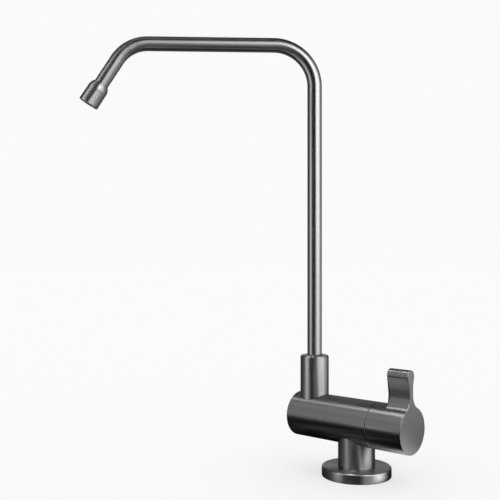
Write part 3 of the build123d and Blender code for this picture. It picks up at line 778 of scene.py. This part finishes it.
mouth_outline = rounded_outline(
    [
        (shoulder_radius, shoulder_length, 0),
        (mouth_radius, nozzle_length, mouth_edge_round),
        (chamber_radius, nozzle_length, mouth_inner_round),
        (chamber_radius, chamber_start, 0),
        (tube_bore_radius, chamber_start, 0),
        (tube_bore_radius, socket_depth, 0),
        (tube_radius, socket_depth, 0),
        (tube_radius, 0, 0),
    ]
)
nozzle = turned(np.concatenate([crown, mouth_outline]), nozzle_axes, nozzle_place)
add_piece("nozzle_turned", [(nozzle, True, True)], lit_collar_finish, "spout", "nozzle_housing")

# Aerator: a rubber seal, a pale nylon insert with a ring of holes, a fine steel screen and the
# steel ring that holds them in the nozzle's mouth.
finish_node("aerator_seal", rubber)
finish_node("aerator_insert", nylon)
finish_node("aerator_screen", plain_steel)
finish_node("aerator_retaining_ring", plain_steel)

# Floor: a level matt sheet of pale paper that runs out into a white background. Rays that see it,
# straight or mirrored, find it partly lit from within, so the tap's shadow on it stays faint.
studio_centre = np.array([-40 * mm, 0, 0])
floor_reach = 6000 * mm
floor_drop = 0.02 * mm
floor_tone = (0.975, 0.975, 0.975)
floor_roughness = 0.9
floor_glow_share = 0.6
background_level = 0.956
studio_rows = 9
studio_columns = 73
all_round = [(-180, 1), (180, 1)]


def round_grid(across, reach, height, centre=studio_centre):
    """Grid on circles round a centre: each column is a turn from the camera's side towards the
    right, in degrees, and each row has its own reach and height."""
    turn = np.radians(np.linspace(across[0][0], across[-1][0], studio_columns))
    way = np.stack([np.sin(turn), -np.cos(turn), np.zeros(studio_columns)], axis=1)
    return centre + reach[:, None, None] * way + height[:, None, None] * np.array([0, 0, 1])


def studio_piece(name, points, material, only_reflected):
    """One grid of the studio, outside the object. Its map called share goes from 0 to 1 along
    the columns and along the rows."""
    rows, columns = points.shape[:2]
    corner_rows, corner_columns, corners = face_corners(points)
    share = np.stack([corner_columns / (columns - 1), corner_rows / (rows - 1)], axis=-1)
    mesh = bpy.data.meshes.new(name)
    mesh.from_pydata(points.reshape(-1, 3).tolist(), [], corners.tolist())
    mesh.uv_layers.new(name="share").uv.foreach_set("vector", share.ravel())
    mesh.materials.append(material)
    piece = bpy.data.objects.new(name, mesh)
    bpy.context.scene.collection.objects.link(piece)
    if only_reflected:
        piece.visible_camera = False
        piece.visible_diffuse = False
        piece.visible_shadow = False


def seen_or_mirrored(owner):
    """Socket with 1 where the camera sees the owner, straight or in metal or glass, else 0."""
    nodes, links = owner.node_tree.nodes, owner.node_tree.links
    rays = nodes.new("ShaderNodeLightPath")
    seen = rays.outputs["Is Camera Ray"]
    for ray in ("Is Glossy Ray", "Is Transmission Ray"):
        either = nodes.new("ShaderNodeMath")
        either.operation = "MAXIMUM"
        links.new(seen, either.inputs[0])
        links.new(rays.outputs[ray], either.inputs[1])
        seen = either.outputs[0]
    return seen


floor_material = bpy.data.materials.new("pale floor")
floor_material.use_nodes = True
floor_shader = floor_material.node_tree.nodes["Principled BSDF"]
floor_shader.inputs["Base Color"].default_value = (*floor_tone, 1)
floor_shader.inputs["Roughness"].default_value = floor_roughness
floor_shader.inputs["Specular IOR Level"].default_value = 0.0
floor_nodes, floor_links = floor_material.node_tree.nodes, floor_material.node_tree.links
floor_glow = floor_nodes.new("ShaderNodeEmission")
floor_glow.inputs["Strength"].default_value = background_level
glow_share = floor_nodes.new("ShaderNodeMath")
glow_share.operation = "MULTIPLY"
glow_share.inputs[1].default_value = floor_glow_share
floor_links.new(seen_or_mirrored(floor_material), glow_share.inputs[0])
floor_mix = floor_nodes.new("ShaderNodeMixShader")
floor_links.new(glow_share.outputs[0], floor_mix.inputs[0])
floor_links.new(floor_shader.outputs[0], floor_mix.inputs[1])
floor_links.new(floor_glow.outputs[0], floor_mix.inputs[2])
floor_links.new(floor_mix.outputs[0], floor_nodes["Material Output"].inputs["Surface"])
floor_rows = np.linspace(0, floor_reach, studio_rows)
floor_grid = round_grid(all_round, floor_rows, np.full(studio_rows, -floor_drop))
studio_piece("floor", floor_grid, floor_material, only_reflected=False)

# Dark flags: see-through grey cards round the tap, above it and on the floor, which give the steel
# its dark bands. Only reflections see them, and each takes a share of what lies behind it.
wall_distance = 1300 * mm
wall_height = 1800 * mm
shade_ring = [
    (-180, 0),
    (-168, 0.3),
    (-155, 0.75),
    (-140, 0.82),
    (-100, 0.75),
    (-60, 0.78),
    (-40, 0.96),
    (-15, 0.985),
    (0, 0.97),
    (30, 0.8),
    (60, 0.6),
    (78, 0.2),
    (88, 0),
    (108, 0.05),
    (122, 0.55),
    (145, 0.6),
    (165, 0.15),
    (180, 0),
]


def card_pattern(name, peak, across, up, flag):
    """Value of a card: its peak times one level that changes across it and one that changes up
    it. Both are lists of (place, level), from edge to edge. A light adds the value to what lies
    behind it, and a flag takes the value, as a share, away from it."""
    material = bpy.data.materials.new(name)
    material.use_nodes = True
    nodes, links = material.node_tree.nodes, material.node_tree.links
    nodes.clear()
    share = nodes.new("ShaderNodeUVMap")
    share.uv_map = "share"
    parts = nodes.new("ShaderNodeSeparateXYZ")
    links.new(share.outputs[0], parts.inputs[0])
    product = nodes.new("ShaderNodeMath")
    product.operation = "MULTIPLY"
    for index, (socket, stops) in enumerate((("X", across), ("Y", up))):
        ramp = nodes.new("ShaderNodeValToRGB")
        first, last = stops[0][0], stops[-1][0]
        for place, _ in stops[1:-1]:
            ramp.color_ramp.elements.new((place - first) / (last - first))
        for element, (_, level) in zip(ramp.color_ramp.elements, stops):
            element.color = (level, level, level, 1)
        links.new(parts.outputs[socket], ramp.inputs[0])
        links.new(ramp.outputs[0], product.inputs[index])
    scaled = nodes.new("ShaderNodeMath")
    scaled.operation = "MULTIPLY"
    scaled.inputs[1].default_value = -peak if flag else peak
    links.new(product.outputs[0], scaled.inputs[0])
    clear = nodes.new("ShaderNodeBsdfTransparent")
    output = nodes.new("ShaderNodeOutputMaterial")
    if flag:
        kept = nodes.new("ShaderNodeMath")
        kept.inputs[1].default_value = 1.0
        links.new(scaled.outputs[0], kept.inputs[0])
        links.new(kept.outputs[0], clear.inputs["Color"])
        links.new(clear.outputs[0], output.inputs["Surface"])
        return material
    glow = nodes.new("ShaderNodeEmission")
    links.new(scaled.outputs[0], glow.inputs["Strength"])
    both = nodes.new("ShaderNodeAddShader")
    links.new(glow.outputs[0], both.inputs[0])
    links.new(clear.outputs[0], both.inputs[1])
    links.new(both.outputs[0], output.inputs["Surface"])
    return material


def wall_card(name, peak, across, up, distance, centre=studio_centre, flag=False):
    """Card on a circle round a centre, over the turns in degrees and the heights in millimetres
    that its levels list."""
    height = np.linspace(up[0][0], up[-1][0], studio_rows) * mm
    points = round_grid(across, np.full(studio_rows, distance), height, centre)
    studio_piece(name, points, card_pattern(name, peak, across, up, flag), only_reflected=True)


def level_card(name, peak, across, out, height, centre=studio_centre, flag=False):
    """Level card, over the turns in degrees and the distances from a centre in millimetres that
    its levels list."""
    reach = np.linspace(out[0][0], out[-1][0], studio_rows) * mm
    points = round_grid(across, reach, np.full(studio_rows, height), centre)
    studio_piece(name, points, card_pattern(name, peak, across, out, flag), only_reflected=True)


wall_card(
    "front_flag",
    peak=1.0,
    across=shade_ring,
    up=[(0, 1), (1800, 1)],
    distance=wall_distance,
    flag=True,
)
level_card(
    "front_flag_on_floor",
    peak=1.0,
    across=shade_ring,
    out=[(100, 0), (200, 1), (1300, 1)],
    height=0.1 * mm,
    flag=True,
)
level_card(
    "base_flag",
    peak=1.0,
    across=all_round,
    out=[(0, 0.97), (120, 0.95), (260, 0.5), (400, 0)],
    height=0.15 * mm,
    centre=base_place,
    flag=True,
)
level_card(
    "top_flag",
    peak=1.0,
    across=all_round,
    out=[(0, 0.8), (600, 0.75), (1300, 0.5)],
    height=wall_height,
    flag=True,
)

# Bright cards: tall soft lights at both sides of the tap, and low ones near its foot and on the
# floor, which give the steel its bright bands. Only reflections see them, and they add up.
left_ring = [(-102, 0), (-90, 0.35), (-81, 0.9), (-71, 1), (-62, 0.6), (-53, 0.15), (-45, 0)]
right_ring = [
    (-6, 0),
    (2, 0.02),
    (9, 0.15),
    (17, 0.6),
    (25, 1.0),
    (34, 1.0),
    (42, 0.65),
    (51, 0.5),
    (61, 0.4),
    (71, 0.2),
    (82, 0.05),
    (90, 0),
]
wall_card(
    "left_light",
    peak=8.5,
    across=left_ring,
    up=[(0, 0.5), (150, 0.46), (450, 0.5), (700, 0.36), (1200, 0.33), (1700, 0.7)],
    distance=1290 * mm,
)
level_card(
    "left_light_on_floor",
    peak=6.5,
    across=left_ring,
    out=[(150, 0), (260, 0.35), (380, 0.5), (700, 0.55), (950, 1), (1290, 1)],
    height=0.2 * mm,
)
wall_card(
    "low_left_light",
    peak=1.3,
    across=[(-128, 0), (-115, 0.7), (-100, 1), (-88, 0.5), (-80, 0)],
    up=[(0, 1), (150, 0.8), (300, 0)],
    distance=1275 * mm,
)
wall_card(
    "right_light",
    peak=14.5,
    across=right_ring,
    up=[(200, 0), (350, 0.6), (640, 1), (1200, 0.8), (1700, 0.2)],
    distance=1280 * mm,
)
wall_card(
    "right_light_foot",
    peak=11.0,
    across=[(32, 0), (46, 1), (62, 0.7), (80, 0)],
    up=[(0, 0.2), (180, 0.8), (420, 1), (560, 0)],
    distance=1280 * mm,
)
wall_card(
    "low_right_light",
    peak=4.0,
    across=[(46, 0), (58, 0.6), (68, 1), (84, 1), (92, 0.5), (100, 0)],
    up=[(0, 1), (350, 1), (600, 0)],
    distance=1270 * mm,
)
wall_card(
    "pedestal_left_light",
    peak=0.7,
    across=[(-140, 0), (-128, 0.7), (-110, 1), (-85, 1), (-65, 0.6), (-50, 0.2), (-40, 0)],
    up=[(0, 1), (5, 1), (9, 0)],
    distance=60 * mm,
    centre=base_place,
)
level_card(
    "near_left_light_on_floor",
    peak=1.3,
    across=[(-70, 0), (-62, 0.6), (-54, 1), (-46, 0.8), (-36, 0)],
    out=[(26, 0), (31, 1), (42, 1), (50, 0)],
    height=0.25 * mm,
    centre=base_place,
)
level_card(
    "near_right_light_on_floor",
    peak=9.0,
    across=[(24, 0), (32, 0.5), (41, 1), (50, 0.9), (60, 0.3), (72, 0)],
    out=[(26, 0), (31, 1), (42, 1), (50, 0)],
    height=0.25 * mm,
    centre=base_place,
)
level_card(
    "low_right_light_on_floor",
    peak=5.0,
    across=[(48, 0), (60, 0.6), (72, 1), (82, 0.8), (90, 0)],
    out=[(42, 0), (50, 1), (90, 1), (120, 0)],
    height=0.25 * mm,
    centre=base_place,
)
level_card(
    "side_light_on_floor",
    peak=2.5,
    across=[(84, 0), (95, 1), (110, 1), (122, 0)],
    out=[(280, 0), (400, 1), (900, 1), (1280, 0.5)],
    height=0.35 * mm,
)
level_card(
    "right_light_on_floor",
    peak=4.0,
    across=[(0, 0), (30, 1), (75, 1), (95, 0)],
    out=[(150, 0), (450, 0.1), (800, 0.5), (1280, 0.7)],
    height=0.3 * mm,
)

# Strip light and lever fill: a long soft light over the round body and along it, tipped a little
# to its left, and a small level one beside the foot of the blade.
strip_angle = radians(77.5)
strip_distance = 1000 * mm
lever_fill_height = 38 * mm
right_way = np.array([1, 0, 0])
back_way = np.array([0, 1, 0])


def flat_card(name, peak, across, up, centre, across_way, up_way, flag=False):
    """Flat card, over the places in millimetres that its levels list, measured from its centre
    along its two ways."""
    sides = np.array([across[0][0], across[-1][0]]) * mm
    ends = np.array([up[0][0], up[-1][0]]) * mm
    points = centre + sides[None, :, None] * across_way + ends[:, None, None] * up_way
    studio_piece(name, points, card_pattern(name, peak, across, up, flag), only_reflected=True)


strip_way = sin(strip_angle) * body_axes[1] - cos(strip_angle) * body_axes[0]
flat_card(
    "strip_light",
    peak=54.0,
    across=[(-720, 0), (-540, 0.25), (-360, 1), (-60, 1), (60, 0)],
    up=[(-120, 0), (-60, 0.8), (0, 1), (60, 0.8), (120, 0)],
    centre=body_place + strip_distance * strip_way,
    across_way=body_axes[2],
    up_way=cos(strip_angle) * body_axes[1] + sin(strip_angle) * body_axes[0],
)
flat_card(
    "lever_fill",
    peak=4.2,
    across=[(-46, 0), (-36, 1), (-4, 1), (6, 0)],
    up=[(-52, 0), (-44, 1), (-30, 1), (-25, 0)],
    centre=np.array([0, 0, lever_fill_height]),
    across_way=right_way,
    up_way=back_way,
)

# Flags of the level run: two level see-through grey cards, one over the spout's level run and one
# under it, which darken its top and its underside.
run_flag_height = 330 * mm
run_foot_flag_height = 262 * mm
flat_card(
    "run_flag",
    peak=0.97,
    across=[(-240, 0), (-220, 1), (0, 1), (20, 0)],
    up=[(-18, 0), (-6, 0.95), (12, 1), (48, 1), (60, 0)],
    centre=np.array([0, 0, run_flag_height]),
    across_way=right_way,
    up_way=back_way,
    flag=True,
)
flat_card(
    "run_foot_flag",
    peak=1.0,
    across=[(-150, 0), (-140, 1), (-55, 1), (-45, 0)],
    up=[(-44, 0), (-32, 0.15), (-20, 0.5), (-9, 0.8), (2, 0.85), (12, 0)],
    centre=np.array([0, 0, run_foot_flag_height]),
    across_way=right_way,
    up_way=back_way,
    flag=True,
)

# World: an even pale surround that lights the tap from all sides. Rays that see it, straight or
# mirrored, find the level of the background.
ambient_level = 0.985
world = bpy.data.worlds.new("studio")
bpy.context.scene.world = world
world.use_nodes = True
world_nodes, world_links = world.node_tree.nodes, world.node_tree.links
background = world_nodes["Background"]
background.inputs["Color"].default_value = (1, 1, 1, 1)
level = world_nodes.new("ShaderNodeMapRange")
level.inputs["To Min"].default_value = ambient_level
level.inputs["To Max"].default_value = background_level
world_links.new(seen_or_mirrored(world), level.inputs["Value"])
world_links.new(level.outputs[0], background.inputs["Strength"])

bpy.context.scene.view_settings.view_transform = "Standard"
